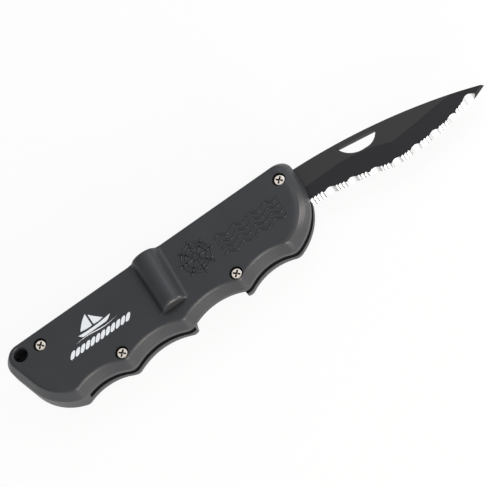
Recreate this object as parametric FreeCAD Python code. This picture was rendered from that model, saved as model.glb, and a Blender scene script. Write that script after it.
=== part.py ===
import FreeCAD, Part
import math
import os

os.makedirs("parts", exist_ok=True)

# Folding rigging knife, millimetres. X runs to the blade tip, Y to the spine, Z to the front face.
# The origin is on the axis of the lanyard hole, midway through the thickness.

# Handle body
FAR = 60.0                # reach of tools that cut right through
THICKNESS = 17.0          # over both scales
BLADE_THICK = 2.0
WASHER_THICK = 0.3
WASHER_R = 3.9
LAND_HEIGHT = 2.0         # upright land beside the slot
SIDE_RUN = 2.0            # how far the walls lean in from the land to the face
GROOVE_PITCH = 23.9       # finger grooves, cusp to cusp
FIRST_CUSP_X = 29.9
CUSP_Y = -24.5
GROOVE_DEPTH = 3.0
SPINE_Y = 3.8             # spine edge of the face
CUSP_R = 2.6              # soft crest between two grooves
FRONT_OVERHANG = 12.0     # front end beyond the last cusp
LAST_GROOVE_RATIO = 0.91
LAST_CUSP_RISE = 0.9
FRONT_ROLL = 4.0          # height of the soft rounding across the front end
FRONT_RUN = 2.4           # how far that rounding reaches back over the face
ROLL_LIMIT = 0.8          # of the leaning wall's height, at most
EDGE_ROUND = 0.7          # where the walls turn into the face
FRONT_R = 19.2            # outline circles: front end and its corner at the spine
FRONT_CENTRE_Y = -5.0
FRONT_CORNER_R = 2.5
BUTT_CORNER_R = 4.4       # round the lanyard hole
BUTT = (15.0, -6.7, 17.1)
HEEL_R = 2.5              # where the butt turns into the first groove
HEEL_X = 9.4
FIRST_GROOVE = (18.5, -42.6, -21.4)
SLOT_START_X = 12.0       # behind this the two scales meet
POST_BACK = 3.7           # front screw and its sleeve, behind the front end
POST_Y = -1.6

# Lanyard hole, through the butt corner
LANYARD_R = 2.5
LANYARD_RIM = 0.6

# Cross ridge on the front face
RIDGE_X = 47.3
RIDGE_WIDTH = 13.9
RIDGE_HEIGHT = 4.6
RIDGE_END_Y = -18.5
RIDGE_SKEW = 1.2          # the free end is this much narrower
RIDGE_ROUND = 1.3         # both ends roll over
RIDGE_SHOULDER = 0.19     # of the width, from each foot
RIDGE_SHOULDER_RISE = 0.52

# Thumb notch in the rear scale
NOTCH_TOP_Y = -14.5
NOTCH_MARGIN = 1.4        # it stops short of the cusp at each side

# Pivot and blade
PIVOT_BACK = 9.5          # pivot behind the front end
PIVOT_Y = -8.5
PIVOT_R = 2.5
TANG_R = 6.3
RUN_FIT = 0.05            # running fit on pins, per side
PIN_FIT = 0.02            # fixed pins in their sockets, per side
STOP_GAP = 0.3
STOP_PIN_BACK = 9.0       # closed stop pin, from the pivot
STOP_PIN_UP = 5.3
PIN_DEPTH = 4.0           # how deep blind pins sit in each scale
BLADE_LEN = 82.1          # pivot to tip along the handle
SWING_DEG = -176.5

# Blade outline, u along the open blade and v up from the pivot
RICASSO_V = -4.0
RICASSO_U = 10.7
EDGE = [(RICASSO_U, -5.0), (16.0, -5.2), (30.0, -7.8), (41.0, -10.7), (46.0, -11.1), (57.7, -10.5),
        (66.0, -9.7), (77.5, -6.3)]
TIP = (BLADE_LEN, -4.4)
SPINE_START = (8.7, 10.3)
SPINE_MID = (44.0, 6.4)
SHACKLE_HEEL = (28.0, 7.1)
SHACKLE_DEEP = (36.4, 1.3)
SHACKLE_TIP = (42.6, 4.9)
SHACKLE_REAR_BOW = (31.0, 2.95)
SHACKLE_FRONT_BOW = (40.8, 2.4)
GRIND = [(9.0, 2.0), (26.0, 2.3), (31.5, 1.6), (39.4, -0.2), (45.0, -2.6), (55.0, -2.0), (63.4, -1.0),
         (70.3, -0.6), (84.0, 0.2)]
GRIND_DEPTH = 0.5         # taken off each side over GRIND_RUN
GRIND_RUN = 8.5

# Serration: small teeth at the heel, then long scallops with small teeth between them
BEVEL_WIDTH = 1.7
TIP_BEVEL = 0.5
BEVEL_RISE = 1.1
HEEL_TEETH = 4
SMALL_TEETH = 3
SMALL_WIDTH = 1.31
SMALL_DEPTH = 0.27
SCALLOP_WIDTH = 4.25
SCALLOP_DEPTH = 0.42
SCALLOPS = 8

# Lock bar
BAR_TOP_Y = 5.5
BAR_BOTTOM_Y = 1.3
BAR_PIN_Y = 3.2
BAR_PIN_R = 1.25
BAR_PIN_BACK = 7.7        # behind the middle of the handle
BAR_BOSS_R = 2.7
LOCK_DEG = -3.0           # released to engaged
HOOK_WIDTH = 2.6
HOOK_GAP = 0.3
HOOK_SLACK = 0.15         # around the engaged hook in the tang's notch
HOOK_SWING = 1.2          # the notch opens forward, as the hook leaves on an arc
NECK_RELIEF = 0.6         # the bar's ends are this much higher or lower than its middle
NECK_LENGTH = 6.0
PAD_LENGTH = 15.0         # rear arm, over the spring
PAD_GAP = 1.2             # behind the rear arm
PAD_STEP = 3.0
HOOK_REACH = 4.0          # height of the space that forms the hook

# Screws
HEAD_R = 2.25
HEAD_HEIGHT = 1.5
SHANK_R = 1.25
COUNTERBORE_R = 2.45
COUNTERBORE_DEPTH = 2.3
SHANK_CLEAR = 0.1
INSERT_R = 2.0
INSERT_BOTTOM = 6.0
INSERT_SETBACK = 0.4      # the butt insert stays below the meeting plane
WAIST_DEPTH = 0.3
WAIST_WIDTH = 1.0
BUTT_SCREW = (7.6, -1.1)
EDGE_SCREW_RISE = 3.3     # screws along the grooves, up from the cusps
BACK_SCREW_SHIFT = 6.3    # the front one sits beside the thumb notch
BACK_SCREW_RISE = 6.0
HEAD_ROUND = 0.7
TIP_CHAMFER = 0.3
TIP_GAP = 0.1             # short screws end this far inside the liner
RECESS_TOP = (2.9, 0.7)   # driver recess, length and width of an arm
RECESS_FOOT = (1.5, 0.4)
RECESS_DEPTH = 0.9
SCREW_TIP = 5.2
SLEEVE_R = 2.1
STOP_PIN_R = 1.5

# Steel liners, let into the inner side of each scale
LINER_THICK = 0.9
LINER_INSET = 2.5         # set back from the outline of the land
LINER_START_X = 19.6
NOTCH_SETBACK = 1.2       # the rear liner stays this far behind the thumb notch

# Return spring under the rear arm of the lock bar
SPRING_X = 16.2
SPRING_R = 0.95           # to the wire's centre line
WIRE_R = 0.17
SPRING_SEAT_Y = -6.3
SPRING_TURNS = 6.5
SEAT_THICK = 1.6
SEAT_REACH = 2.0          # in front of the spring's axis

# Derived positions
HALF = THICKNESS / 2
SLOT_HALF = BLADE_THICK / 2 + WASHER_THICK
LAND_TOP = SLOT_HALF + LAND_HEIGHT
WALL_HEIGHT = HALF - LAND_TOP
ROLL_HEIGHT = min(FRONT_ROLL, ROLL_LIMIT * WALL_HEIGHT)
CUSPS = [FIRST_CUSP_X + i * GROOVE_PITCH for i in range(3)]
CUSPS.append(CUSPS[2] + LAST_GROOVE_RATIO * GROOVE_PITCH)
FRONT_X = CUSPS[3] + FRONT_OVERHANG
PIVOT_X = FRONT_X - PIVOT_BACK
BAR_PIN_X = (CUSPS[1] + CUSPS[2]) / 2 - BAR_PIN_BACK
POST = (FRONT_X - POST_BACK, POST_Y)
STOP_PIN = (PIVOT_X - STOP_PIN_BACK, PIVOT_Y + STOP_PIN_UP)
SCREWS = {
    "butt": BUTT_SCREW,
    "rear_edge": (CUSPS[0] - 0.2, CUSP_Y + EDGE_SCREW_RISE),
    "front_edge": (CUSPS[2] - 0.1, CUSP_Y + EDGE_SCREW_RISE - 0.1),
    "front_top": POST,
}
THROUGH = ("butt", "front_top")
REAR_SCREWS = [SCREWS["rear_edge"], (CUSPS[2] + BACK_SCREW_SHIFT, CUSP_Y + BACK_SCREW_RISE)]
LINER_TOP = SLOT_HALF + LINER_THICK
PAD_BOTTOM_Y = BAR_BOTTOM_Y + NECK_RELIEF
BEVEL_ANGLE = math.atan2(BEVEL_RISE, BEVEL_WIDTH)
EDGE_Z = -BLADE_THICK / 2 + GRIND_DEPTH


def vec(x, y, z=0.0):
    return FreeCAD.Vector(x, y, z)


def cylinder(x, y, r, z0, z1):
    return Part.makeCylinder(r, z1 - z0, vec(x, y, z0))


def box(x0, x1, y0, y1, z0, z1):
    return Part.makeBox(x1 - x0, y1 - y0, z1 - z0, vec(x0, y0, z0))


def polygon(points, z0, z1):
    ring = [vec(x, y, z0) for x, y in points]
    face = Part.Face(Part.makePolygon(ring + ring[:1]))
    return face.extrude(vec(0, 0, z1 - z0))


def cusp(a, b, r, near_x):
    """Circle of radius r that touches circles a and b; a hollow circle has a negative radius."""
    da = abs(a[2] - r)
    db = abs(b[2] - r)
    dx = b[0] - a[0]
    dy = b[1] - a[1]
    gap = math.hypot(dx, dy)
    along = (da * da - db * db + gap * gap) / (2 * gap)
    across = math.sqrt(max(da * da - along * along, 0.0))
    found = []
    for side in (1, -1):
        x = a[0] + (along * dx - side * across * dy) / gap
        y = a[1] + (along * dy + side * across * dx) / gap
        found.append((x, y, r))
    return min(found, key=lambda c: abs(c[0] - near_x) + (1000 if c[1] < CUSP_Y else 0))


def groove(x0, x1, y0, y1):
    """Hollow circle of one finger groove between two cusps."""
    half = (x1 - x0) / 2
    sag = GROOVE_DEPTH
    r = (half * half + sag * sag) / (2 * sag)
    tilt = (y1 - y0) / (x1 - x0)
    cx = (x0 + x1) / 2 + tilt * r / 2
    return (cx, (y0 + y1) / 2 + sag - r, -r)


def outline_circles(front_back):
    """Circles whose arcs and common tangents make the face outline, anticlockwise from the butt."""
    front_x = FRONT_X - front_back
    butt_corner = (0.0, SPINE_Y - BUTT_CORNER_R, BUTT_CORNER_R)
    g2 = groove(CUSPS[0], CUSPS[1], CUSP_Y, CUSP_Y)
    g3 = groove(CUSPS[1], CUSPS[2], CUSP_Y, CUSP_Y)
    g4 = groove(CUSPS[2], CUSPS[3], CUSP_Y, CUSP_Y + LAST_CUSP_RISE)
    front = (front_x - FRONT_R, FRONT_CENTRE_Y, FRONT_R)
    front_corner = (front_x - FRONT_CORNER_R, SPINE_Y - FRONT_CORNER_R, FRONT_CORNER_R)
    heel = cusp(BUTT, FIRST_GROOVE, HEEL_R, HEEL_X)
    k1 = cusp(FIRST_GROOVE, g2, CUSP_R, CUSPS[0])
    k2 = cusp(g2, g3, CUSP_R, CUSPS[1])
    k3 = cusp(g3, g4, CUSP_R, CUSPS[2])
    k4 = cusp(g4, front, CUSP_R, CUSPS[3])
    hollow = [FIRST_GROOVE, k1, g2, k2, g3, k3, g4, k4]
    return [butt_corner, BUTT, heel] + hollow + [front, front_corner]


def outline_wire(offset, z, front_back=0.0):
    """The handle outline moved outward by offset, with its front end moved back."""
    circles = [(x, y, r + offset) for x, y, r in outline_circles(front_back)]
    normals = []
    for a, b in zip(circles, circles[1:] + circles[:1]):
        gap = math.hypot(b[0] - a[0], b[1] - a[1])
        ratio = max(-1.0, min(1.0, (a[2] - b[2]) / gap))
        normals.append(math.atan2(b[1] - a[1], b[0] - a[0]) - math.acos(ratio))
    edges = []
    last = first = None
    for i, (x, y, r) in enumerate(circles):
        n0 = normals[i - 1]
        n1 = normals[i]
        half_turn = math.remainder(n1 - n0, 2 * math.pi) / 2
        start, middle, end = [
            vec(x + r * math.cos(n), y + r * math.sin(n), z) for n in (n0, n0 + half_turn, n1)
        ]
        if last is None:
            first = start
        elif last.distanceToPoint(start) > 0.01:
            edges.append(Part.makeLine(last, start))
        else:
            start = last
        edges.append(Part.Arc(start, middle, end).toShape())
        last = end
    edges.append(Part.makeLine(last, first))
    return Part.Wire(edges)


def wall_section(z):
    """Outline at one height: it leans in, rounds over at the face and rolls back at the front."""
    lean = SIDE_RUN * (HALF - z) / WALL_HEIGHT
    up = max(0.0, z - HALF + EDGE_ROUND)
    edge = EDGE_ROUND - math.sqrt(EDGE_ROUND ** 2 - up ** 2)
    rise = max(0.0, z - HALF + ROLL_HEIGHT) / ROLL_HEIGHT
    back = FRONT_RUN * (1 - math.sqrt(1 - rise ** 2))
    return outline_wire(lean - edge, z, back)


def shell():
    """One half of the handle as a plain block, from the meeting plane to its face."""
    land = Part.Face(outline_wire(SIDE_RUN, 0)).extrude(vec(0, 0, LAND_TOP))
    levels = [LAND_TOP] + [HALF - ROLL_HEIGHT * (1 - math.sin(math.radians(a))) for a in (0, 20, 40)]
    levels += [HALF - EDGE_ROUND * (1 - math.sin(math.radians(a))) for a in (0, 30, 60, 90)]
    walls = Part.makeLoft([wall_section(z) for z in levels], True, True)
    return land.fuse(walls).removeSplitter()


def ridge_section(y, drop):
    """Hump outline with hollow feet, lowered and narrowed by drop where the ends roll over."""
    along = (SPINE_Y - y) / (SPINE_Y - RIDGE_END_Y)
    left = RIDGE_X + drop / 2
    right = RIDGE_X + RIDGE_WIDTH - along * RIDGE_SKEW - drop / 2
    shoulder = RIDGE_SHOULDER * (right - left)
    height = RIDGE_HEIGHT - drop
    points = [
        vec(left, y, HALF),
        vec(left + shoulder, y, HALF + RIDGE_SHOULDER_RISE * height),
        vec((left + right) / 2, y, HALF + height),
        vec(right - shoulder, y, HALF + RIDGE_SHOULDER_RISE * height),
        vec(right, y, HALF),
    ]
    curve = Part.BSplineCurve()
    curve.interpolate(Points=points, InitialTangent=vec(1, 0), FinalTangent=vec(1, 0))
    down = vec(0, 0, -1)
    base = [points[4], points[4] + down, points[0] + down, points[0]]
    return Part.Wire([curve.toShape()] + [Part.makeLine(p, q) for p, q in zip(base, base[1:])])


def ridge():
    """Rounded hump across the front face, narrower at its free end."""
    rolls = []
    for degrees in (0, 25, 50, 70, 90):
        inward = RIDGE_ROUND * (1 - math.cos(math.radians(degrees)))
        rolls.append((inward, RIDGE_ROUND * (1 - math.sin(math.radians(degrees)))))
    sections = [ridge_section(SPINE_Y - inward, drop) for inward, drop in rolls]
    sections += [ridge_section(RIDGE_END_Y + inward, drop) for inward, drop in reversed(rolls)]
    return Part.makeLoft(sections, True, True)


def slot_space(side):
    """Room between a scale's inner side and the meeting plane; side is 1 in front, -1 behind."""
    low, high = sorted((0, side * SLOT_HALF))
    space = box(SLOT_START_X, FRONT_X + FAR, -FAR, FAR, low, high)
    seat_bottom = SPRING_SEAT_Y - SEAT_THICK
    seat = box(SLOT_START_X - 1, SPRING_X + SEAT_REACH, seat_bottom, SPRING_SEAT_Y, low, high)
    return space.cut(seat)


def liner_blank(side):
    """Plain plate with the handle's outline, set back all round."""
    plate = Part.Face(outline_wire(SIDE_RUN - LINER_INSET, SLOT_HALF)).extrude(vec(0, 0, LINER_THICK))
    plate = plate.common(box(LINER_START_X, FRONT_X, -FAR, FAR, 0, HALF))
    if side < 0:
        plate = plate.mirror(vec(0, 0, 0), vec(0, 0, 1))
        x, y, r = notch_circle()
        plate = plate.cut(cylinder(x, y, r + NOTCH_SETBACK, -HALF, 0))
    return plate


def liner(side):
    """Steel liner with its pin holes, threaded screw holes and the clearance hole at the post."""
    plate = liner_blank(side)
    threaded = REAR_SCREWS if side < 0 else [SCREWS["rear_edge"], SCREWS["front_edge"]]
    cuts = [cylinder(x, y, r + PIN_FIT, -HALF, HALF) for x, y, r in pins()]
    cuts += [cylinder(x, y, SHANK_R, -HALF, HALF) for x, y in threaded]
    cuts.append(cylinder(POST[0], POST[1], SHANK_R + SHANK_CLEAR, -HALF, HALF))
    return plate.cut(cuts)


def pin_sockets(side):
    """Blind holes for the pivot, lock bar pin and closed stop pin; side is 1 in front, -1 behind."""
    cuts = []
    for x, y, r in pins():
        low, high = sorted((0, side * (SLOT_HALF + PIN_DEPTH)))
        cuts.append(cylinder(x, y, r + PIN_FIT, low, high))
    return cuts


def pins():
    return [
        (PIVOT_X, PIVOT_Y, PIVOT_R),
        (BAR_PIN_X, BAR_PIN_Y, BAR_PIN_R),
        (STOP_PIN[0], STOP_PIN[1], STOP_PIN_R),
    ]


def lanyard_rim(z_face, side):
    """Ring cut away to round the mouth of the lanyard hole."""
    r = LANYARD_R + LANYARD_RIM
    ring = cylinder(0, 0, r, *sorted((z_face, z_face - side * LANYARD_RIM)))
    round_over = Part.makeTorus(r, LANYARD_RIM, vec(0, 0, z_face - side * LANYARD_RIM))
    return ring.cut(round_over)


def front_scale():
    body = shell().fuse(ridge())
    body = body.cut([slot_space(1), liner_blank(1)])
    cuts = pin_sockets(1)
    cuts.append(cylinder(0, 0, LANYARD_R, -1, HALF + 1))
    cuts.append(lanyard_rim(HALF, 1))
    for x, y in SCREWS.values():
        cuts += screw_holes(x, y, -1)
    return body.cut(cuts).removeSplitter()


def screw_holes(x, y, bottom):
    """Clearance hole and counterbore of one screw entering from the front."""
    hole = cylinder(x, y, SHANK_R + SHANK_CLEAR, bottom, HALF + 1)
    return [hole, cylinder(x, y, COUNTERBORE_R, HALF - COUNTERBORE_DEPTH, HALF + 1)]


def notch_circle():
    """Round bite out of the rear scale, across the third groove."""
    half = GROOVE_PITCH / 2 - NOTCH_MARGIN
    rise = NOTCH_TOP_Y - (CUSP_Y - SIDE_RUN)
    r = (half * half + rise * rise) / (2 * rise)
    return (CUSPS[1] + GROOVE_PITCH / 2, NOTCH_TOP_Y - r, r)


def insert_top(name):
    """Upper end of an insert: under the front liner's seat, or at the rear liner."""
    return -INSERT_SETBACK if name == "butt" else -LINER_TOP


def rear_scale():
    body = shell().mirror(vec(0, 0, 0), vec(0, 0, 1))
    body = body.cut([slot_space(-1), liner_blank(-1)])
    cuts = pin_sockets(-1)
    cuts.append(cylinder(0, 0, LANYARD_R, -HALF - 1, 1))
    cuts.append(lanyard_rim(-HALF, -1))
    x, y, r = notch_circle()
    cuts.append(cylinder(x, y, r, -HALF - 1, 0))
    for x, y in REAR_SCREWS:
        cuts += [c.mirror(vec(0, 0, 0), vec(0, 0, 1)) for c in screw_holes(x, y, SLOT_HALF)]
    for name in THROUGH:
        x, y = SCREWS[name]
        cuts.append(cylinder(x, y, INSERT_R, -INSERT_BOTTOM, insert_top(name)))
        cuts.append(cylinder(x, y, SHANK_R + SHANK_CLEAR, insert_top(name) - 0.1, 1))
    return body.cut(cuts).removeSplitter()


def insert(name):
    """Threaded brass insert with a waist, bored to the screw."""
    x, y = SCREWS[name]
    top = insert_top(name)
    body = cylinder(x, y, INSERT_R, -INSERT_BOTTOM, top)
    middle = (top - INSERT_BOTTOM) / 2
    half = WAIST_WIDTH / 2
    waist = cylinder(x, y, INSERT_R + 1, middle - half, middle + half)
    waist = waist.cut(cylinder(x, y, INSERT_R - WAIST_DEPTH, middle - 1, middle + 1))
    return body.cut(waist).cut(cylinder(x, y, SHANK_R, -INSERT_BOTTOM - 1, top + 1))


def cross_recess(x, y, top):
    """Cross-shaped driver recess that narrows downward."""
    arms = None
    for turn in (45, 135):
        rims = []
        for (length, width), z in ((RECESS_FOOT, -RECESS_DEPTH), (RECESS_TOP, 0.1)):
            rims.append(Part.makePlane(length, width, vec(-length / 2, -width / 2, z)).OuterWire)
        arm = Part.makeLoft(rims, True, True)
        arm.rotate(vec(0, 0), vec(0, 0, 1), turn)
        arms = arm if arms is None else arms.fuse(arm)
    arms.translate(vec(x, y, top))
    return arms


def screw(x, y, tip):
    """Pan-head screw from the front, ending at the height tip."""
    seat = HALF - COUNTERBORE_DEPTH
    top = seat + HEAD_HEIGHT
    head = cylinder(x, y, HEAD_R, seat, top)
    rim = [e for e in head.Edges if e.Closed and abs(e.CenterOfMass.z - top) < 0.01]
    head = head.makeFillet(HEAD_ROUND, rim)
    shank = cylinder(x, y, SHANK_R, tip, seat)
    end = [e for e in shank.Edges if e.Closed and abs(e.CenterOfMass.z - tip) < 0.01]
    shank = shank.makeChamfer(TIP_CHAMFER, end)
    return head.fuse(shank).removeSplitter().cut(cross_recess(x, y, top))


def rear_screw(x, y):
    return screw(x, y, SLOT_HALF + TIP_GAP).mirror(vec(0, 0, 0), vec(0, 0, 1))


def stop_sleeve():
    x, y = POST
    tube = cylinder(x, y, SLEEVE_R, -SLOT_HALF, SLOT_HALF)
    return tube.cut(cylinder(x, y, SHANK_R + SHANK_CLEAR, -SLOT_HALF - 1, SLOT_HALF + 1))


def plain_pin(x, y, r):
    end = SLOT_HALF + PIN_DEPTH
    return cylinder(x, y, r, -end, end)


def washer(side):
    low, high = sorted((side * BLADE_THICK / 2, side * SLOT_HALF))
    ring = cylinder(PIVOT_X, PIVOT_Y, WASHER_R, low, high)
    return ring.cut(cylinder(PIVOT_X, PIVOT_Y, PIVOT_R + RUN_FIT, low - 1, high + 1))


def polar(r, deg):
    return (r * math.cos(math.radians(deg)), r * math.sin(math.radians(deg)))


def arc3(p, q, r, z=0.0):
    return Part.Arc(vec(*p, z), vec(*q, z), vec(*r, z)).toShape()


def blade_blank():
    """Flat blade with its tang: round at the pivot, hollowed around the stop sleeve."""
    post_u = POST[0] - PIVOT_X
    post_v = POST[1] - PIVOT_Y
    post_r = math.hypot(post_u, post_v)
    post_a = math.degrees(math.atan2(post_v, post_u))
    hollow = SLEEVE_R + STOP_GAP
    inner = polar(post_r - hollow, post_a)
    side = polar(hollow, post_a - 90)
    outer = polar(post_r + hollow, post_a)
    beside = (post_u + side[0], post_v + side[1])
    tang_start = polar(TANG_R, post_a)
    tang_end_a = math.degrees(math.asin(RICASSO_V / TANG_R))
    tang_mid = polar(TANG_R, (post_a + 360 + tang_end_a) / 2)
    tang_end = polar(TANG_R, tang_end_a)
    edges = [arc3(tang_start, tang_mid, tang_end)]
    line = [tang_end, (RICASSO_U, RICASSO_V)] + EDGE + [TIP]
    edges += [Part.makeLine(vec(*p), vec(*q)) for p, q in zip(line, line[1:])]
    edges.append(arc3(TIP, SPINE_MID, SPINE_START))
    edges.append(Part.makeLine(vec(*SPINE_START), vec(*outer)))
    edges.append(arc3(outer, beside, inner))
    edges.append(Part.makeLine(vec(*inner), vec(*tang_start)))
    blank = Part.Face(Part.Wire(Part.__sortEdges__(edges))).extrude(vec(0, 0, BLADE_THICK))
    blank.translate(vec(0, 0, -BLADE_THICK / 2))
    return blank


def hook_block(slack, swing):
    """Space of the engaged hook at the top of the tang, widened by slack and by its swing forward."""
    half = HOOK_WIDTH / 2
    bottom = hook_bottom_v() - 2 * slack
    top = TANG_R + HOOK_REACH
    left = -half - slack
    right = half + slack
    points = [(left, top), (left, bottom), (right, bottom), (right + swing, top)]
    return polygon(points, -BLADE_THICK, BLADE_THICK)


def hook_travel():
    return math.radians(abs(LOCK_DEG)) * (PIVOT_X - BAR_PIN_X)


def hook_bottom_v():
    """Height of the engaged hook's foot above the pivot."""
    return TANG_R + HOOK_GAP - hook_travel()


def half_moon():
    """Shackle hole: flat toward the spine, a long curve toward the heel and a short one to the tip."""
    edges = [Part.makeLine(vec(*SHACKLE_TIP), vec(*SHACKLE_HEEL))]
    edges.append(arc3(SHACKLE_HEEL, SHACKLE_REAR_BOW, SHACKLE_DEEP))
    edges.append(arc3(SHACKLE_DEEP, SHACKLE_FRONT_BOW, SHACKLE_TIP))
    hole = Part.Face(Part.Wire(edges)).extrude(vec(0, 0, 2 * BLADE_THICK))
    hole.translate(vec(0, 0, -BLADE_THICK))
    return hole


def ring(u, points):
    """Closed section across the blade at u; the points are (v, z)."""
    corners = [vec(u, v, z) for v, z in points]
    return Part.makePolygon(corners + corners[:1])


def grind_cutter():
    """Wedge that thins the blade from the grind line to the edge, for the front side."""
    top = BLADE_THICK / 2
    reach = 1.5 * GRIND_RUN
    sections = []
    for u, v in GRIND:
        low = (v - reach, top - 1.5 * GRIND_DEPTH)
        sections.append(ring(u, [(v, top), low, (v - reach, top + 1), (v, top + 1)]))
    return Part.makeLoft(sections, True, True)


def bevel_cutter():
    """Everything in front of the chisel bevel, which narrows at the tip."""
    sections = []
    for u, v in EDGE + [TIP]:
        width = BEVEL_WIDTH if u < EDGE[-1][0] else TIP_BEVEL
        slope = BEVEL_RISE / width
        low = v - 0.2
        high = v + 1.5 * width
        above = BLADE_THICK
        sections.append(ring(u, [(low, EDGE_Z + (low - v) * slope), (high, EDGE_Z + (high - v) * slope),
                                 (high, above), (low, above)]))
    return Part.makeLoft(sections, True, True)


def edge_v(u):
    """Height of the serrated edge at u."""
    for p, q in zip(EDGE, EDGE[1:]):
        if u <= q[0]:
            return p[1] + (q[1] - p[1]) * (u - p[0]) / (q[0] - p[0])
    return EDGE[-1][1]


def trough(start, width, depth):
    """Round trough ground up the bevel across one width of edge."""
    r = (width * width / 4 + depth * depth) / (2 * depth)
    u = start + width / 2
    along = vec(0, math.cos(BEVEL_ANGLE), math.sin(BEVEL_ANGLE))
    up = vec(0, -along.z, along.y)
    foot = vec(u, edge_v(u), EDGE_Z) + up * (r - depth) - along * BEVEL_WIDTH
    return Part.makeCylinder(r, 4 * BEVEL_WIDTH, foot, along)


def serration():
    """Troughs from the heel to the tip, in the order they are ground."""
    cutters = []
    at = EDGE[0][0]
    for scallop in range(SCALLOPS):
        for _ in range(SMALL_TEETH if scallop else HEEL_TEETH):
            cutters.append(trough(at, SMALL_WIDTH, SMALL_DEPTH))
            at += SMALL_WIDTH
        cutters.append(trough(at, SCALLOP_WIDTH, SCALLOP_DEPTH))
        at += SCALLOP_WIDTH
    return cutters


def blade():
    body = blade_blank()
    front_grind = grind_cutter()
    rear_grind = front_grind.mirror(vec(0, 0, 0), vec(0, 0, 1))
    keep_heel = box(RICASSO_U, 2 * BLADE_LEN, -FAR, FAR, -FAR, FAR)
    body = body.cut(front_grind.common(keep_heel))
    body = body.cut(rear_grind.common(keep_heel))
    body = body.cut(half_moon())
    body = body.cut(bevel_cutter())
    for cutter in serration():
        body = body.cut(cutter)
    body = body.cut(hook_block(HOOK_SLACK, HOOK_SWING))
    closed = hook_block(HOOK_SLACK, HOOK_SWING)
    closed.rotate(vec(0, 0), vec(0, 0, 1), -SWING_DEG)
    body = body.cut(closed)
    body = body.cut(cylinder(0, 0, PIVOT_R + RUN_FIT, -5, 5))
    body.translate(vec(PIVOT_X, PIVOT_Y, 0))
    return body


def lock_bar():
    """Bar along the spine with a hook at the tang and a flush pad at the rear, shown released."""
    half = BLADE_THICK / 2
    nose = PIVOT_X + HOOK_WIDTH / 2
    rear = SLOT_START_X + PAD_GAP
    pad = rear + PAD_LENGTH
    points = [
        (rear, BAR_TOP_Y), (rear, PAD_BOTTOM_Y), (pad, PAD_BOTTOM_Y), (pad + PAD_STEP, BAR_BOTTOM_Y),
        (nose - HOOK_WIDTH - NECK_LENGTH, BAR_BOTTOM_Y), (nose - HOOK_WIDTH, BAR_BOTTOM_Y - NECK_RELIEF),
        (nose, BAR_BOTTOM_Y - NECK_RELIEF), (nose, BAR_TOP_Y),
    ]
    bar = polygon(points, -half, half)
    hook = hook_block(0, 0)
    hook.translate(vec(PIVOT_X, PIVOT_Y, 0))
    hook.rotate(vec(BAR_PIN_X, BAR_PIN_Y), vec(0, 0, 1), -LOCK_DEG)
    reach = box(PIVOT_X - NECK_LENGTH, PIVOT_X + NECK_LENGTH, PIVOT_Y, BAR_PIN_Y, -half, half)
    bar = bar.fuse(hook.common(reach))
    bar = bar.fuse(cylinder(BAR_PIN_X, BAR_PIN_Y, BAR_BOSS_R, -half, half))
    bar = bar.common(box(0, FRONT_X, -FAR, BAR_TOP_Y, -half, half))
    bar = bar.cut(cylinder(BAR_PIN_X, BAR_PIN_Y, BAR_PIN_R + RUN_FIT, -5, 5))
    return bar.removeSplitter()


def lock_spring():
    """Coil spring standing between its seat and the rear arm of the lock bar."""
    bottom = SPRING_SEAT_Y + WIRE_R
    top = PAD_BOTTOM_Y - WIRE_R
    rise = top - bottom
    helix = Part.makeLongHelix(rise / SPRING_TURNS, rise, SPRING_R)
    circle = Part.Wire(Part.makeCircle(WIRE_R, vec(SPRING_R, 0, 0), vec(0, 1, 0)))
    coil = Part.Wire(helix).makePipeShell([circle], True, True)
    coil.rotate(vec(0, 0), vec(1, 0, 0), -90)
    coil.translate(vec(SPRING_X, bottom, 0))
    return coil


def build():
    parts = {
        "front_scale": front_scale(),
        "rear_scale": rear_scale(),
        "front_liner": liner(1),
        "rear_liner": liner(-1),
        "blade": blade(),
        "pivot_pin": plain_pin(PIVOT_X, PIVOT_Y, PIVOT_R),
        "washer_front": washer(1),
        "washer_rear": washer(-1),
        "lock_bar": lock_bar(),
        "lock_bar_pin": plain_pin(BAR_PIN_X, BAR_PIN_Y, BAR_PIN_R),
        "lock_spring": lock_spring(),
        "closed_stop_pin": plain_pin(STOP_PIN[0], STOP_PIN[1], STOP_PIN_R),
        "stop_sleeve": stop_sleeve(),
    }
    for name, (x, y) in SCREWS.items():
        parts["screw_" + name] = screw(x, y, -SCREW_TIP if name in THROUGH else SLOT_HALF + TIP_GAP)
    for name in THROUGH:
        parts["insert_" + name] = insert(name)
    parts["back_screw_rear"] = rear_screw(*REAR_SCREWS[0])
    parts["back_screw_front"] = rear_screw(*REAR_SCREWS[1])
    return parts


for node, shape in build().items():
    shape.exportStep("parts/" + node + ".step")
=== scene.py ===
import math
import bmesh
import bpy
from mathutils import Matrix, Vector


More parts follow.
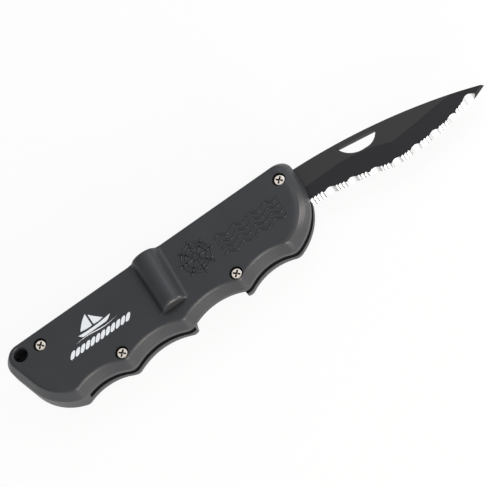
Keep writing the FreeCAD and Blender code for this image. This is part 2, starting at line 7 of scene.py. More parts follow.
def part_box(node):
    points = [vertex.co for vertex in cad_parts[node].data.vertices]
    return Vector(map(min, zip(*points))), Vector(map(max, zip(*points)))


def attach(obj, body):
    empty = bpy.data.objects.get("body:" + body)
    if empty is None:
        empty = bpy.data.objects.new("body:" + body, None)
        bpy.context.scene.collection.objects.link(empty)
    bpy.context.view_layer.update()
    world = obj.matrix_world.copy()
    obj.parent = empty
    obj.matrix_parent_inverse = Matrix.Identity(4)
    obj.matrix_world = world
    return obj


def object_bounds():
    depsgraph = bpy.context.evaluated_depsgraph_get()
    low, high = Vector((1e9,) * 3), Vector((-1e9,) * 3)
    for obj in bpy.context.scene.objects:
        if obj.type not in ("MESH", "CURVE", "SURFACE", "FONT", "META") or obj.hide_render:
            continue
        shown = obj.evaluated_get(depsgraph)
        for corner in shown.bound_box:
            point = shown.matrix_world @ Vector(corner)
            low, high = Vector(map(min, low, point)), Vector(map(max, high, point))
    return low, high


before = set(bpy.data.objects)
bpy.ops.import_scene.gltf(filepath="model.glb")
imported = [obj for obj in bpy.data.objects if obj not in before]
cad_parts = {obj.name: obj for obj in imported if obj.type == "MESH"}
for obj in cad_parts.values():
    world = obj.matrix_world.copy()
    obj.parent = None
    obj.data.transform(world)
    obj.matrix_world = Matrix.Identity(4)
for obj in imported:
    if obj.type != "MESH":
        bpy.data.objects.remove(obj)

CAD_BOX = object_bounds()
MM = 0.001


# ---------------------------------------------------------------- camera

KNIFE_MIDDLE = Vector((0.090, -0.008, 0.0))
TOWARD_CAMERA = Vector((0.041, -0.412, 0.910)).normalized()   # from the knife to the camera
ROLL = math.radians(34.96)                                    # blade points up and to the right
AIM_RIGHT, AIM_UP = -0.00305, -0.00444                        # metres from the knife's middle
FRAME_WIDTH = 0.16789                                         # metres across the picture
CAMERA_DISTANCE = 3.0
SENSOR_WIDTH = 36


def camera():
    """Long lens, square to a line leaning toward the cutting edge."""
    along = Vector((1, 0, 0))
    along = (along - along.dot(TOWARD_CAMERA) * TOWARD_CAMERA).normalized()
    across = TOWARD_CAMERA.cross(along)
    right = math.cos(ROLL) * along - math.sin(ROLL) * across
    up = math.sin(ROLL) * along + math.cos(ROLL) * across
    aim = KNIFE_MIDDLE + AIM_RIGHT * right + AIM_UP * up
    data = bpy.data.cameras.new("camera")
    data.sensor_width = SENSOR_WIDTH
    data.lens = SENSOR_WIDTH * CAMERA_DISTANCE / FRAME_WIDTH
    obj = bpy.data.objects.new("camera", data)
    bpy.context.scene.collection.objects.link(obj)
    turn = Matrix((right, up, TOWARD_CAMERA)).transposed().to_4x4()
    obj.matrix_world = Matrix.Translation(aim + CAMERA_DISTANCE * TOWARD_CAMERA) @ turn
    bpy.context.scene.camera = obj


camera()


# ---------------------------------------------------------------- materials

FACTOR, COLOUR_A, COLOUR_B, COLOUR_OUT = 0, 6, 7, 2           # sockets of a colour mix
# painted shade: near black for the nylon's slot and deep holes
NYLON_PAINTED_SHADE = "#030303"
# painted shade: dark brown for the metal parts' recesses and seats
METAL_PAINTED_SHADE = "#2a1d14"
SHELTER_SAMPLES = 12
FLOOR_GLOW = 0.9                                              # share of the floor that is plain white


def linear(code):
    """sRGB hex to linear RGBA."""
    parts = [int(code[i:i + 2], 16) / 255 for i in (1, 3, 5)]
    return [c / 12.92 if c <= 0.04045 else ((c + 0.055) / 1.055) ** 2.4 for c in parts] + [1.0]


def add(tree, kind, inputs=None, **settings):
    """Adds a node with its settings; each input is a value or another node's output."""
    node = tree.nodes.new(kind)
    for name, value in settings.items():
        setattr(node, name, value)
    for key, given in (inputs or {}).items():
        if isinstance(given, bpy.types.NodeSocket):
            tree.links.new(given, node.inputs[key])
        else:
            node.inputs[key].default_value = given
    return node


def material(name):
    """Empty material and its node tree."""
    mat = bpy.data.materials.new(name)
    mat.use_nodes = True
    mat.node_tree.nodes.clear()
    return mat, mat.node_tree


def moulded_nylon():
    """Black glass-filled nylon from a spark-textured mould: soft sheen, very fine grain."""
    mat, tree = material("moulded_glass_filled_nylon")
    where = add(tree, "ShaderNodeTexCoord").outputs
    facing = add(tree, "ShaderNodeSeparateXYZ", {0: where["Normal"]}).outputs
    # spark grain of about 0.2 mm, drawn at 0.5 mm so that it shows
    grain = add(tree, "ShaderNodeTexNoise", {"Vector": where["Object"], "Scale": 1 / (0.5 * MM),
                "Detail": 3.0, "Roughness": 0.6}).outputs[0]
    # slow drift of the moulded surface, about 9 mm
    drift = add(tree, "ShaderNodeTexNoise", {"Vector": where["Object"], "Scale": 1 / (9 * MM),
                "Detail": 2.0}).outputs[0]
    tone = add(tree, "ShaderNodeMix", {FACTOR: drift, COLOUR_A: linear("#232529"),
               COLOUR_B: linear("#2c2e32")}, data_type="RGBA").outputs[COLOUR_OUT]
    speck = add(tree, "ShaderNodeMapRange", {"Value": grain, "From Min": 0.62, "From Max": 0.80,
                "To Max": 0.35}, interpolation_type="SMOOTHSTEP").outputs[0]
    tone = add(tree, "ShaderNodeMix", {FACTOR: speck, COLOUR_A: tone,
               COLOUR_B: linear("#3c3e43")}, data_type="RGBA").outputs[COLOUR_OUT]
    # painted shade: the slot and the deep holes are painted near black and dull, out to 5 mm from their
    # mouths
    shelter = add(tree, "ShaderNodeAmbientOcclusion", {"Distance": 5 * MM},
                  samples=SHELTER_SAMPLES).outputs["AO"]
    open_air = add(tree, "ShaderNodeMapRange", {"Value": shelter, "From Min": 0.38, "From Max": 0.80},
                   interpolation_type="SMOOTHSTEP").outputs[0]
    # painted shade: the rear scale's upward faces below the meeting plane, seen through the slot, are
    # painted as dark
    depth = add(tree, "ShaderNodeSeparateXYZ", {0: where["Object"]}).outputs["Z"]
    upward = add(tree, "ShaderNodeMath", {0: facing["Z"], 1: 0.5}, operation="GREATER_THAN").outputs[0]
    above = add(tree, "ShaderNodeMath", {0: depth, 1: -0.001 * MM}, operation="GREATER_THAN").outputs[0]
    meeting = add(tree, "ShaderNodeMath", {0: upward, 1: above}, operation="SUBTRACT",
                  use_clamp=True).outputs[0]
    open_air = add(tree, "ShaderNodeMath", {0: open_air, 1: meeting}, operation="SUBTRACT",
                   use_clamp=True).outputs[0]
    tone = add(tree, "ShaderNodeMix", {FACTOR: open_air, COLOUR_A: linear(NYLON_PAINTED_SHADE),
               COLOUR_B: tone}, data_type="RGBA").outputs[COLOUR_OUT]
    # the flat face is a little duller than the walls
    duller = add(tree, "ShaderNodeMapRange", {"Value": facing["Z"], "From Min": 0.90,
                  "From Max": 0.995, "To Max": 0.14}, interpolation_type="SMOOTHSTEP").outputs[0]
    rough = add(tree, "ShaderNodeMapRange", {"Value": open_air, "To Min": 0.95, "To Max": 0.44}).outputs[0]
    rough = add(tree, "ShaderNodeMath", {0: rough, 1: duller}, operation="ADD").outputs[0]
    bump = add(tree, "ShaderNodeBump", {"Height": grain, "Strength": 0.6, "Distance": 0.05 * MM}).outputs[0]
    shader = add(tree, "ShaderNodeBsdfPrincipled", {"Base Color": tone, "Roughness": rough,
                 "Normal": bump, "IOR": 1.53}).outputs[0]
    add(tree, "ShaderNodeOutputMaterial", {"Surface": shader})
    return mat


def coated_blade():
    """Stainless blade in a dull black fluoropolymer coating, bright again where the teeth were cut."""
    mat, tree = material("coated_and_ground_stainless")
    where = add(tree, "ShaderNodeTexCoord").outputs
    facing = add(tree, "ShaderNodeSeparateXYZ", {0: where["Normal"]}).outputs
    # the hollow grind leans toward the edge on both sides
    ground = add(tree, "ShaderNodeMapRange", {"Value": facing["Y"], "From Min": -0.012,
                 "From Max": -0.03}, interpolation_type="SMOOTHSTEP").outputs[0]
    # the teeth are cut from the front only, so their bevels lean well over
    leaning = add(tree, "ShaderNodeMapRange", {"Value": facing["Z"], "From Min": 0.45,
                  "From Max": 0.55}, interpolation_type="SMOOTHSTEP").outputs[0]
    off_flat = add(tree, "ShaderNodeMapRange", {"Value": facing["Z"], "From Min": 0.975,
                   "From Max": 0.96}, interpolation_type="SMOOTHSTEP").outputs[0]
    cut = add(tree, "ShaderNodeMath", {0: leaning, 1: off_flat}, operation="MULTIPLY").outputs[0]
    # satin lines along the flats, 0.15 mm apart, and wheel marks across the grind, 0.25 mm apart
    lengthwise = add(tree, "ShaderNodeMapping", {"Vector": where["Object"],
                     "Scale": (60, 1 / (0.15 * MM), 1 / (0.15 * MM))}).outputs[0]
    satin = add(tree, "ShaderNodeTexNoise", {"Vector": lengthwise, "Scale": 1.0, "Detail": 2.0}).outputs[0]
    crosswise = add(tree, "ShaderNodeMapping", {"Vector": where["Object"],
                    "Scale": (1 / (0.25 * MM), 90, 90)}).outputs[0]
    wheel = add(tree, "ShaderNodeTexNoise", {"Vector": crosswise, "Scale": 1.0, "Detail": 2.0}).outputs[0]
    # slow clouds of warmer tone over the coating, about 12 mm
    cloud = add(tree, "ShaderNodeTexNoise", {"Vector": where["Object"], "Scale": 1 / (12 * MM),
                "Detail": 2.0}).outputs[0]
    thin = add(tree, "ShaderNodeMapRange", {"Value": cloud, "From Min": 0.35, "From Max": 0.7,
               "To Max": 0.5}, interpolation_type="SMOOTHSTEP").outputs[0]
    flats = add(tree, "ShaderNodeMix", {FACTOR: satin, COLOUR_A: linear("#272728"),
                COLOUR_B: linear("#333333")}, data_type="RGBA").outputs[COLOUR_OUT]
    flats = add(tree, "ShaderNodeMix", {FACTOR: thin, COLOUR_A: flats,
                COLOUR_B: linear("#322e2b")}, data_type="RGBA").outputs[COLOUR_OUT]
    hollow = add(tree, "ShaderNodeMix", {FACTOR: wheel, COLOUR_A: linear("#141417"),
                 COLOUR_B: linear("#1f1f23")}, data_type="RGBA").outputs[COLOUR_OUT]
    coat = add(tree, "ShaderNodeMix", {FACTOR: ground, COLOUR_A: flats, COLOUR_B: hollow},
               data_type="RGBA").outputs[COLOUR_OUT]
    rough = add(tree, "ShaderNodeMapRange", {"Value": satin, "To Min": 0.40, "To Max": 0.52}).outputs[0]
    bump = add(tree, "ShaderNodeBump", {"Height": satin, "Strength": 0.15, "Distance": 0.02 * MM}).outputs[0]
    coated = add(tree, "ShaderNodeBsdfPrincipled", {"Base Color": coat, "Roughness": rough,
                 "Normal": bump, "IOR": 1.38}).outputs[0]
    bright = add(tree, "ShaderNodeMix", {FACTOR: wheel, COLOUR_A: linear("#d4d6d8"),
                 COLOUR_B: linear("#f2f3f4")}, data_type="RGBA").outputs[COLOUR_OUT]
    # painted shade: the troughs between the teeth are painted darker, within 0.6 mm of their walls
    trough = add(tree, "ShaderNodeAmbientOcclusion", {"Distance": 0.6 * MM},
                 samples=SHELTER_SAMPLES).outputs["AO"]
    free_of_painted_shade = add(tree, "ShaderNodeMapRange", {"Value": trough, "From Min": 0.55, "From Max": 0.95},
                interpolation_type="SMOOTHSTEP").outputs[0]
    bright = add(tree, "ShaderNodeMix", {FACTOR: free_of_painted_shade, COLOUR_A: linear("#6c6a68"),
                 COLOUR_B: bright}, data_type="RGBA").outputs[COLOUR_OUT]
    steel = add(tree, "ShaderNodeBsdfPrincipled", {"Base Color": bright, "Metallic": 1.0,
                "Roughness": 0.42}).outputs[0]
    both = add(tree, "ShaderNodeMixShader", {0: cut, 1: coated, 2: steel}).outputs[0]
    add(tree, "ShaderNodeOutputMaterial", {"Surface": both})
    return mat


def metal(name, dark, light, roughness, grain_mm, shelter_mm=1.0):
    """Bare or plated metal with fine tool marks that vary its colour and gloss, and painted shade in its
    recesses.
    """
    mat, tree = material(name)
    where = add(tree, "ShaderNodeTexCoord").outputs
    tooling = add(tree, "ShaderNodeTexNoise", {"Vector": where["Object"], "Scale": 1 / (grain_mm * MM),
                  "Detail": 3.0}).outputs[0]
    colour = add(tree, "ShaderNodeMix", {FACTOR: tooling, COLOUR_A: linear(dark),
                 COLOUR_B: linear(light)}, data_type="RGBA").outputs[COLOUR_OUT]
    # painted shade: recesses and seats are painted dark brown, within shelter_mm of the nearest wall
    shelter = add(tree, "ShaderNodeAmbientOcclusion", {"Distance": shelter_mm * MM},
                  samples=SHELTER_SAMPLES).outputs["AO"]
    open_air = add(tree, "ShaderNodeMapRange", {"Value": shelter, "From Min": 0.35, "From Max": 0.85},
                   interpolation_type="SMOOTHSTEP").outputs[0]
    colour = add(tree, "ShaderNodeMix", {FACTOR: open_air, COLOUR_A: linear(METAL_PAINTED_SHADE),
                 COLOUR_B: colour}, data_type="RGBA").outputs[COLOUR_OUT]
    rough = add(tree, "ShaderNodeMapRange", {"Value": tooling, "To Min": roughness - 0.06,
                "To Max": roughness + 0.08}).outputs[0]
    bump = add(tree, "ShaderNodeBump", {"Height": tooling, "Strength": 0.1,
               "Distance": 0.01 * MM}).outputs[0]
    shader = add(tree, "ShaderNodeBsdfPrincipled", {"Base Color": colour, "Metallic": 1.0,
                 "Roughness": rough, "Normal": bump}).outputs[0]
    add(tree, "ShaderNodeOutputMaterial", {"Surface": shader})
    return mat


def pad_print_ink():
    """White pad-printed ink: a thin matt film, slightly uneven where the pad lifted."""
    mat, tree = material("white_pad_print_ink")
    where = add(tree, "ShaderNodeTexCoord").outputs
    film = add(tree, "ShaderNodeTexNoise", {"Vector": where["Object"], "Scale": 1 / (0.5 * MM),
               "Detail": 3.0}).outputs[0]
    colour = add(tree, "ShaderNodeMix", {FACTOR: film, COLOUR_A: linear("#dbe3ea"),
                 COLOUR_B: linear("#fbfdff")}, data_type="RGBA").outputs[COLOUR_OUT]
    shader = add(tree, "ShaderNodeBsdfPrincipled", {"Base Color": colour, "IOR": 1.5,
                 "Roughness": 0.55}).outputs[0]
    add(tree, "ShaderNodeOutputMaterial", {"Surface": shader})
    return mat


def white_floor():
    """Plain pale floor that stays white to the eye and keeps the soft shadow."""
    mat, tree = material("white_paper_sweep")
    paper = add(tree, "ShaderNodeBsdfDiffuse", {"Color": linear("#f4f4f4")}).outputs[0]
    glow = add(tree, "ShaderNodeEmission", {"Color": (1, 1, 1, 1), "Strength": 1.0}).outputs[0]
    path = add(tree, "ShaderNodeLightPath").outputs
    seen = add(tree, "ShaderNodeMath", {0: path["Is Camera Ray"], 1: path["Is Glossy Ray"]},
               operation="MAXIMUM").outputs[0]
    part = add(tree, "ShaderNodeMath", {0: seen, 1: FLOOR_GLOW}, operation="MULTIPLY").outputs[0]
    both = add(tree, "ShaderNodeMixShader", {0: part, 1: paper, 2: glow}).outputs[0]
    add(tree, "ShaderNodeOutputMaterial", {"Surface": both})
    return mat


NYLON = moulded_nylon()
BLADE = coated_blade()
NICKEL = metal("nickel_plated_steel", "#d6cabd", "#efe6dc", 0.26, 0.4)         # warm, glossy heads
GROUND_STEEL = metal("ground_tool_steel", "#8d8f92", "#b4b6b8", 0.34, 0.2)     # grey, fine satin
# the liners take painted shade out to 5 mm, deep into the slot
STAMPED = metal("stamped_stainless_plate", "#6f7174", "#8f9194", 0.42, 0.5, 5.0)   # dull in the slot
BRONZE = metal("plain_bronze", "#a87a45", "#c79a61", 0.35, 0.3)                # brown-gold washers
BRASS = metal("turned_brass", "#c29a4d", "#dcb76a", 0.3, 0.3)                  # yellow, turned lines
WIRE = metal("drawn_spring_wire", "#77797c", "#9a9c9f", 0.3, 0.2)              # dark, drawn smooth
INK = pad_print_ink()

NODE_MATERIALS = {
    "front_scale": NYLON, "rear_scale": NYLON, "blade": BLADE,
    "front_liner": STAMPED, "rear_liner": STAMPED,
    "pivot_pin": GROUND_STEEL, "lock_bar_pin": GROUND_STEEL, "closed_stop_pin": GROUND_STEEL,
    "stop_sleeve": GROUND_STEEL, "lock_bar": GROUND_STEEL, "lock_spring": WIRE,
    "washer_front": BRONZE, "washer_rear": BRONZE, "insert_butt": BRASS, "insert_front_top": BRASS,
}
for node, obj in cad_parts.items():
    finish = NODE_MATERIALS.get(node, NICKEL)                 # the screws are what is left
    for slot in obj.material_slots:
        slot.material = finish


# ---------------------------------------------------------------- marks on the front face

HEAD_DEPTH = 0.8 * MM                                         # screw heads below the face
FACE_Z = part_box("screw_butt")[1][2] + HEAD_DEPTH
GRIP_BUTT, GRIP_FRONT = (corner[0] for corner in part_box("front_scale"))

LINE_WIDTH = 0.5 * MM                                         # raised lines, foot to foot
RELIEF = 0.18 * MM                                            # how far they stand out
CROWN_SHARE = 0.55                                            # top of a raised line over its foot
WHEEL_RADIUS = 5.5 * MM
WHEEL_SPOKES = 8
RIM_SHARES = (1.0, 0.72, 0.22)                                # outer rim, inner rim, hub
HANDLE_SHARE = 1.28                                           # reach of the spoke handles
WAVE_ROWS = 4
WAVE_SPREAD = 26 * MM
WAVE_LENGTH = 6.5 * MM
WAVE_HEIGHT = 0.75 * MM
WAVE_PITCH = 2.4 * MM
INK_FILM = 0.04 * MM
INK_SUNK = 0.25                                               # of the film's thickness
STRANDS = 12
STRAND_LAY = 2.1 * MM
STRAND_SIZE = (1.75 * MM, 2.5 * MM)
STRAND_LEAN = 0.8
STRAND_POINTS = 28


def socket(tree, name, kind, value):
    """Named input of a node group; returns its identifier."""
    item = tree.interface.new_socket(name, in_out="INPUT", socket_type=kind)
    item.default_value = value
    return item.identifier


def new_group(name):
    """Empty geometry node group that gives out a mesh."""
    tree = bpy.data.node_groups.new(name, "GeometryNodeTree")
    tree.interface.new_socket("Mesh", in_out="OUTPUT", socket_type="NodeSocketGeometry")
    return tree


def close_group(tree, geometry, finish):
    """Realizes the instances, gives them their material and joins the output."""
    real = add(tree, "GeometryNodeRealizeInstances", {0: geometry}).outputs[0]
    painted = add(tree, "GeometryNodeSetMaterial", {0: real, "Material": finish}).outputs[0]
    add(tree, "NodeGroupOutput", {0: painted})


def grown(name, tree, values, place):
    """Evaluates a node group into a plain mesh and sets it down on the handle at place."""
    holder = bpy.data.objects.new(name + "_holder", bpy.data.meshes.new(name + "_holder"))
    bpy.context.scene.collection.objects.link(holder)
    modifier = holder.modifiers.new("grow", "NODES")
    modifier.node_group = tree
    for identifier, value in values.items():
        modifier[identifier] = value
    evaluated = holder.evaluated_get(bpy.context.evaluated_depsgraph_get())
    mesh = bpy.data.meshes.new_from_object(evaluated)
    holder.modifiers.remove(modifier)
    bpy.data.objects.remove(holder)
    mesh.name = name
    set_down(name, mesh, place)


def set_down(name, mesh, place):
    """Moves a mark to its place, closes its seams, turns it outward and rides it on the handle."""
    mesh.transform(Matrix.Translation(place))
    shape = bmesh.new()
    shape.from_mesh(mesh)
    bmesh.ops.remove_doubles(shape, verts=shape.verts, dist=0.001 * MM)
    bmesh.ops.recalc_face_normals(shape, faces=shape.faces)
    shape.to_mesh(mesh)
    shape.free()
    piece = bpy.data.objects.new(name, mesh)
    bpy.context.scene.collection.objects.link(piece)
    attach(piece, "handle")


def raised_profile(tree, width, height):
    """Half-sunk bar section for raised lines: wide at its foot and narrow on top."""
    crown = add(tree, "ShaderNodeMath", {0: width, 1: CROWN_SHARE}, operation="MULTIPLY").outputs[0]
    tall = add(tree, "ShaderNodeMath", {0: height, 1: 2.0}, operation="MULTIPLY").outputs[0]
    return add(tree, "GeometryNodeCurvePrimitiveQuadrilateral", {"Bottom Width": width,
               "Top Width": crown, "Height": tall, "Offset": 0.0}, mode="TRAPEZOID").outputs[0]


def wheel_group():
    """Raised ship's wheel: two rims, a hub and spokes with handles beyond the outer rim."""
    tree = new_group("raised_wheel")
    keys = {
        "radius": socket(tree, "Rim radius", "NodeSocketFloat", WHEEL_RADIUS),
        "spokes": socket(tree, "Spokes", "NodeSocketInt", WHEEL_SPOKES),
    }
    socket(tree, "Line width", "NodeSocketFloat", LINE_WIDTH)
    socket(tree, "Relief", "NodeSocketFloat", RELIEF)
    given = add(tree, "NodeGroupInput").outputs
    strokes = add(tree, "GeometryNodeJoinGeometry")
    for share in RIM_SHARES:
        radius = add(tree, "ShaderNodeMath", {0: given["Rim radius"], 1: share},
                     operation="MULTIPLY").outputs[0]
        rim = add(tree, "GeometryNodeCurvePrimitiveCircle", {"Resolution": 72, "Radius": radius})
        tree.links.new(rim.outputs[0], strokes.inputs[0])
    inner = add(tree, "ShaderNodeMath", {0: given["Rim radius"], 1: RIM_SHARES[-1]},
                operation="MULTIPLY").outputs[0]
    outer = add(tree, "ShaderNodeMath", {0: given["Rim radius"], 1: HANDLE_SHARE},
                operation="MULTIPLY").outputs[0]
    spoke_start = add(tree, "ShaderNodeCombineXYZ", {0: inner}).outputs[0]
    spoke_end = add(tree, "ShaderNodeCombineXYZ", {0: outer}).outputs[0]
    spoke = add(tree, "GeometryNodeCurvePrimitiveLine", {"Start": spoke_start,
                "End": spoke_end}).outputs[0]
    points = add(tree, "GeometryNodePoints", {"Count": given["Spokes"]}).outputs[0]
    index = add(tree, "GeometryNodeInputIndex").outputs[0]
    step = add(tree, "ShaderNodeMath", {0: 2 * math.pi, 1: given["Spokes"]}, operation="DIVIDE").outputs[0]
    angle = add(tree, "ShaderNodeMath", {0: index, 1: step}, operation="MULTIPLY").outputs[0]
    turn = add(tree, "ShaderNodeCombineXYZ", {2: angle}).outputs[0]
    spokes = add(tree, "GeometryNodeInstanceOnPoints", {"Points": points, "Instance": spoke,
                 "Rotation": turn}).outputs[0]
    spokes = add(tree, "GeometryNodeRealizeInstances", {0: spokes}).outputs[0]
    tree.links.new(spokes, strokes.inputs[0])
    profile = raised_profile(tree, given["Line width"], given["Relief"])
    bars = add(tree, "GeometryNodeCurveToMesh", {"Curve": strokes.outputs[0],
               "Profile Curve": profile, "Fill Caps": True}).outputs[0]
    close_group(tree, bars, NYLON)
    return tree, keys


def wave_group():
    """Rows of raised wave lines, one under the other."""
    tree = new_group("raised_waves")
    keys = {
        "rows": socket(tree, "Rows", "NodeSocketInt", WAVE_ROWS),
        "pitch": socket(tree, "Row pitch", "NodeSocketFloat", WAVE_PITCH),
    }
    socket(tree, "Length", "NodeSocketFloat", WAVE_SPREAD)
    socket(tree, "Wave length", "NodeSocketFloat", WAVE_LENGTH)
    socket(tree, "Wave height", "NodeSocketFloat", WAVE_HEIGHT)
    socket(tree, "Line width", "NodeSocketFloat", LINE_WIDTH)
    socket(tree, "Relief", "NodeSocketFloat", RELIEF)
    given = add(tree, "NodeGroupInput").outputs
    end = add(tree, "ShaderNodeCombineXYZ", {0: given["Length"]}).outputs[0]
    line = add(tree, "GeometryNodeCurvePrimitiveLine", {"End": end}).outputs[0]
    fine = add(tree, "GeometryNodeResampleCurve", {"Curve": line, "Count": 97}).outputs[0]
    down = add(tree, "ShaderNodeMath", {0: given["Row pitch"], 1: -1.0}, operation="MULTIPLY").outputs[0]
    step = add(tree, "ShaderNodeCombineXYZ", {1: down}).outputs[0]
    stack = add(tree, "GeometryNodeMeshLine", {"Count": given["Rows"], "Offset": step}).outputs[0]
    rows = add(tree, "GeometryNodeInstanceOnPoints", {"Points": stack, "Instance": fine}).outputs[0]
    lines = add(tree, "GeometryNodeRealizeInstances", {0: rows}).outputs[0]
    position = add(tree, "GeometryNodeInputPosition").outputs[0]
    along = add(tree, "ShaderNodeSeparateXYZ", {0: position}).outputs[0]
    turns = add(tree, "ShaderNodeMath", {0: along, 1: given["Wave length"]}, operation="DIVIDE").outputs[0]
    phase = add(tree, "ShaderNodeMath", {0: turns, 1: 2 * math.pi}, operation="MULTIPLY").outputs[0]
    sine = add(tree, "ShaderNodeMath", {0: phase}, operation="SINE").outputs[0]
    lift = add(tree, "ShaderNodeMath", {0: sine, 1: given["Wave height"]}, operation="MULTIPLY").outputs[0]
    offset = add(tree, "ShaderNodeCombineXYZ", {1: lift}).outputs[0]
    waved = add(tree, "GeometryNodeSetPosition", {0: lines, "Offset": offset}).outputs[0]
    profile = raised_profile(tree, given["Line width"], given["Relief"])
    bars = add(tree, "GeometryNodeCurveToMesh", {"Curve": waved, "Profile Curve": profile,
               "Fill Caps": True}).outputs[0]
    close_group(tree, bars, NYLON)
    return tree, keys


def ink_mesh(name, outlines):
    """Thin printed film from closed outlines, sunk a hair into the face."""
    shape = bmesh.new()
    for outline in outlines:
        low = [shape.verts.new((x, y, -INK_SUNK * INK_FILM)) for x, y in outline]
        high = [shape.verts.new((x, y, INK_FILM)) for x, y in outline]
        shape.faces.new(low[::-1])
        shape.faces.new(high)
        for i in range(len(outline)):
            j = (i + 1) % len(outline)
            shape.faces.new((low[i], low[j], high[j], high[i]))
    bmesh.ops.triangulate(shape, faces=[f for f in shape.faces if len(f.verts) > 4])
    mesh = bpy.data.meshes.new(name)
    shape.to_mesh(mesh)
    shape.free()
    mesh.materials.append(INK)
    return mesh


def strand_mesh():
    """One strand of a laid rope seen from the side: a full, leaning lozenge."""
    width, height = STRAND_SIZE
    outline = []
    for i in range(STRAND_POINTS):
        a = 2 * math.pi * i / STRAND_POINTS
        x = 0.5 * width * math.copysign(abs(math.cos(a)) ** 0.8, math.cos(a))
        y = 0.5 * height * math.copysign(abs(math.sin(a)) ** 0.7, math.sin(a))
        outline.append((x + STRAND_LEAN * y, y))
    return ink_mesh("strand", [outline])


def rope_group(strand):
    """Printed laid rope: the same strand repeated along a line."""
    tree = new_group("printed_rope")
    keys = {
        "count": socket(tree, "Strands", "NodeSocketInt", STRANDS),
        "pitch": socket(tree, "Lay", "NodeSocketFloat", STRAND_LAY),
    }
    given = add(tree, "NodeGroupInput").outputs
    step = add(tree, "ShaderNodeCombineXYZ", {0: given["Lay"]}).outputs[0]
    line = add(tree, "GeometryNodeMeshLine", {"Count": given["Strands"], "Offset": step}).outputs[0]
    one = add(tree, "GeometryNodeObjectInfo", {"Object": strand}).outputs["Geometry"]
    row = add(tree, "GeometryNodeInstanceOnPoints", {"Points": line, "Instance": one}).outputs[0]
    close_group(tree, row, INK)
    return tree, keys


def bowed(p, q, bow, steps=10):
    """Points from p toward q along a shallow bow; a positive bow bulges to the right of the way."""
    (x0, y0), (x1, y1) = p, q
    out = []
    for i in range(steps):
        t = i / steps
        push = 4 * bow * t * (1 - t)
        out.append((x0 + (x1 - x0) * t + (y1 - y0) * push, y0 + (y1 - y0) * t - (x1 - x0) * push))
    return out


def boat_outlines():
    """Mainsail, jib, hull and the swell under it, millimetres, with the foot of the mast at the origin."""
    mainsail = bowed((-0.35, 0.7), (-0.35, 5.7), 0.0) + bowed((-0.35, 5.7), (-4.9, 1.1), 0.05)
    mainsail += bowed((-4.9, 1.1), (-0.35, 0.7), 0.04)
    jib = bowed((0.35, 4.9), (0.35, 0.7), 0.0) + bowed((0.35, 0.7), (4.3, 0.9), 0.04)
    jib += bowed((4.3, 0.9), (0.35, 4.9), -0.02)
    hull = bowed((-6.3, 0.15), (-4.9, -1.15), 0.08) + bowed((-4.9, -1.15), (4.4, -1.15), 0.0)
    hull += bowed((4.4, -1.15), (7.0, 0.5), 0.08) + bowed((7.0, 0.5), (-6.3, 0.15), -0.03)
    swell = bowed((-8.6, -1.95), (0.0, -1.75), -0.05) + bowed((0.0, -1.75), (8.6, -1.55), 0.05)
    swell += bowed((8.6, -1.55), (0.0, -2.15), -0.05) + bowed((0.0, -2.15), (-8.6, -1.95), 0.05)
    return [[(x * MM, y * MM) for x, y in outline] for outline in (mainsail, jib, hull, swell)]


def on_face(share, y_mm):
    """Place on the front face, from a share of the grip's length and a height in millimetres."""
    return (GRIP_BUTT + share * (GRIP_FRONT - GRIP_BUTT), y_mm * MM, FACE_Z)


def marks():
    """Printed boat over a laid rope by the butt; raised wheel and waves toward the pivot."""
    set_down("printed_boat", ink_mesh("printed_boat", boat_outlines()), on_face(0.276, -7.1))
    strand = bpy.data.objects.new("strand", strand_mesh())
    bpy.context.scene.collection.objects.link(strand)
    tree, keys = rope_group(strand)
    grown("printed_rope", tree, {keys["count"]: STRANDS, keys["pitch"]: STRAND_LAY},
          on_face(0.180, -11.6))
    bpy.data.objects.remove(strand)
    tree, keys = wheel_group()
    grown("raised_wheel", tree, {keys["radius"]: WHEEL_RADIUS, keys["spokes"]: WHEEL_SPOKES},
          on_face(0.632, -8.0))
    tree, keys = wave_group()
    grown("raised_waves", tree, {keys["rows"]: WAVE_ROWS, keys["pitch"]: WAVE_PITCH},
          on_face(0.704, -6.6))


marks()


# ---------------------------------------------------------------- stage

FLOOR_GAP = 0.05 * MM
FLOOR_REACH = 3.0                                             # metres each way
SKY_ON_OBJECT = 0.45                                          # against 1 where it is looked at

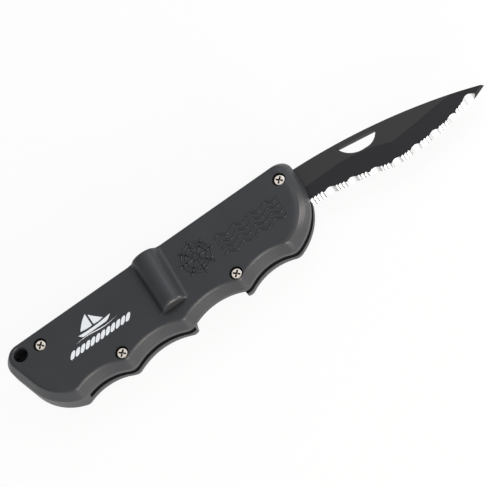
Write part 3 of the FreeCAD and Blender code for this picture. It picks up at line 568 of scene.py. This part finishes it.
# name, way from the knife, metres off, metres across, watts, colour
LAMPS = [
    ("edge_side_softbox", (0.05, -0.97, 0.22), 0.9, 0.5, 8.2, "#fff6ec"),
    ("front_end_softbox", (0.95, -0.30, 0.05), 0.9, 0.4, 7.5, "#fff8f0"),
    ("high_edge_side_softbox", (0.0, -0.65, 0.75), 1.0, 0.5, 1.6, "#ffffff"),
    ("overhead_softbox", (0.1, 0.45, 0.9), 1.0, 0.8, 1.0, "#f4f9ff"),
    ("front_overhead_softbox", (0.6, 0.35, 0.72), 0.5, 0.3, 0.45, "#f4f9ff"),
]


def floor():
    """Wide floor just under the knife."""
    low = CAD_BOX[0][2] - FLOOR_GAP
    r = FLOOR_REACH
    mesh = bpy.data.meshes.new("floor")
    mesh.from_pydata([(-r, -r, low), (r, -r, low), (r, r, low), (-r, r, low)], [], [(0, 1, 2, 3)])
    mesh.materials.append(white_floor())
    obj = bpy.data.objects.new("floor", mesh)
    bpy.context.scene.collection.objects.link(obj)


def surroundings():
    """White all round, dimmer on the knife than to the eye."""
    world = bpy.data.worlds.new("studio")
    bpy.context.scene.world = world
    world.use_nodes = True
    tree = world.node_tree
    tree.nodes.clear()
    seen = add(tree, "ShaderNodeLightPath").outputs["Is Camera Ray"]
    strength = add(tree, "ShaderNodeMapRange", {"Value": seen, "To Min": SKY_ON_OBJECT,
                   "To Max": 1.0}).outputs[0]
    sky = add(tree, "ShaderNodeBackground", {"Color": (1, 1, 1, 1), "Strength": strength}).outputs[0]
    add(tree, "ShaderNodeOutputWorld", {"Surface": sky})


def lamps():
    """Round soft boxes that face the knife."""
    for name, direction, distance, size, watts, colour in LAMPS:
        data = bpy.data.lights.new(name, "AREA")
        data.shape = "DISK"
        data.size = size
        data.energy = watts
        data.color = linear(colour)[:3]
        lamp = bpy.data.objects.new(name, data)
        bpy.context.scene.collection.objects.link(lamp)
        way = Vector(direction).normalized()
        lamp.location = KNIFE_MIDDLE + distance * way
        lamp.rotation_euler = way.to_track_quat("Z", "Y").to_euler()


floor()
surroundings()
lamps()
bpy.context.scene.view_settings.view_transform = "Standard"
